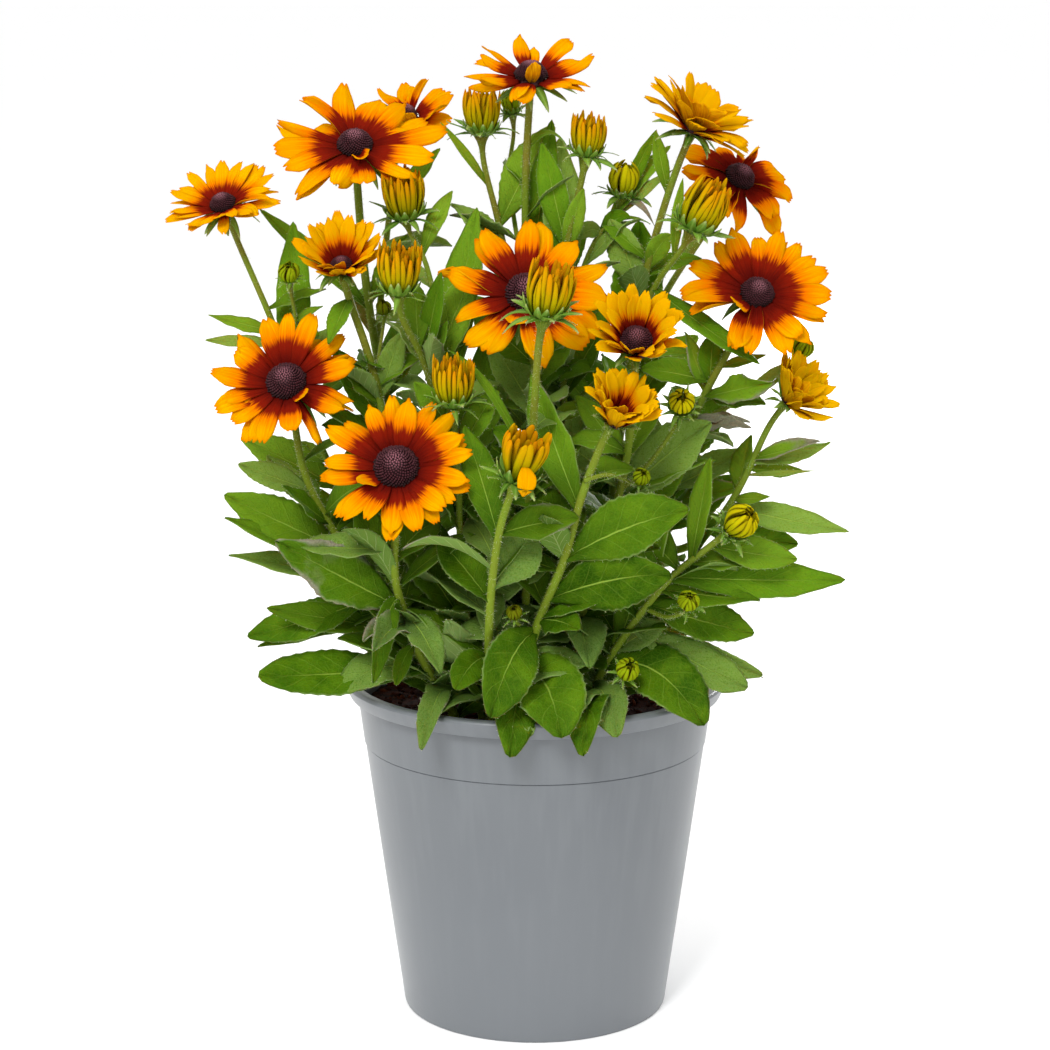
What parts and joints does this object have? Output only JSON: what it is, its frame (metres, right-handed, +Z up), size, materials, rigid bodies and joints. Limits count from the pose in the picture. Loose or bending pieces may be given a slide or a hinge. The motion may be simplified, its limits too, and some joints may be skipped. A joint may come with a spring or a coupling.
{
  "type": "potted black-eyed susan",
  "caption": "Black-eyed susan plant in flower, with leafy stems and buds, growing in a round grey plastic nursery pot that stands on its flat base.",
  "frame": {"origin": "middle of the pot's flat base, on the surface that it stands on", "axes": "+Z up, -Y towards the front that most of the flowers face, +X to the right seen from the front"},
  "size_m": [0.3276, 0.2261, 0.4791],
  "materials": {
    "pot": "satin moulded grey plastic",
    "soil": "rough moist granules",
    "greenery": "hairy green leaf",
    "rays": "soft grooved petal, dark red at its foot",
    "cones": "rough dark brown-purple florets",
    "buds": "yellow-green unopened florets"
  },
  "bodies": {
    "root": {"pot": "pot", "soil": "soil", "stem_buds_left": "greenery", "stem_centre": "greenery", "stem_centre_front": "greenery", "stem_cup_centre": "greenery", "stem_cup_left": "greenery", "stem_far_left": "greenery", "stem_front_left": "greenery", "stem_front_middle": "greenery", "stem_front_right": "greenery", "stem_left": "greenery", "stem_low_bud_left": "greenery", "stem_low_right": "greenery", "stem_right": "greenery", "stem_top": "greenery", "stem_upper_left": "greenery", "stem_upper_middle": "greenery", "stem_upper_right": "greenery", "rays_centre": "rays", "rays_cup_centre": "rays", "rays_cup_left": "rays", "rays_far_left": "rays", "rays_front_left": "rays", "rays_half_open_centre": "rays", "rays_half_open_right": "rays", "rays_left": "rays", "rays_right": "rays", "rays_top": "rays", "rays_upper_left": "rays", "rays_upper_left_back": "rays", "rays_upper_right": "rays", "rays_upper_right_back": "rays", "cone_centre": "cones", "cone_cup_centre": "cones", "cone_cup_left": "cones", "cone_far_left": "cones", "cone_front_left": "cones", "cone_half_open_centre": "cones", "cone_half_open_right": "cones", "cone_left": "cones", "cone_right": "cones", "cone_top": "cones", "cone_upper_left": "cones", "cone_upper_left_back": "cones", "cone_upper_right": "cones", "cone_upper_right_back": "cones", "bud_centre_front": "buds", "bud_facing": "buds", "bud_globe": "buds", "bud_left": "buds", "bud_left_high": "buds", "bud_low_left": "buds", "bud_low_right": "buds", "bud_opening": "buds", "bud_top_left": "buds", "bud_under_top": "buds", "bud_upper_middle": "buds", "bud_upper_right": "buds"}
  },
  "joints": []
}
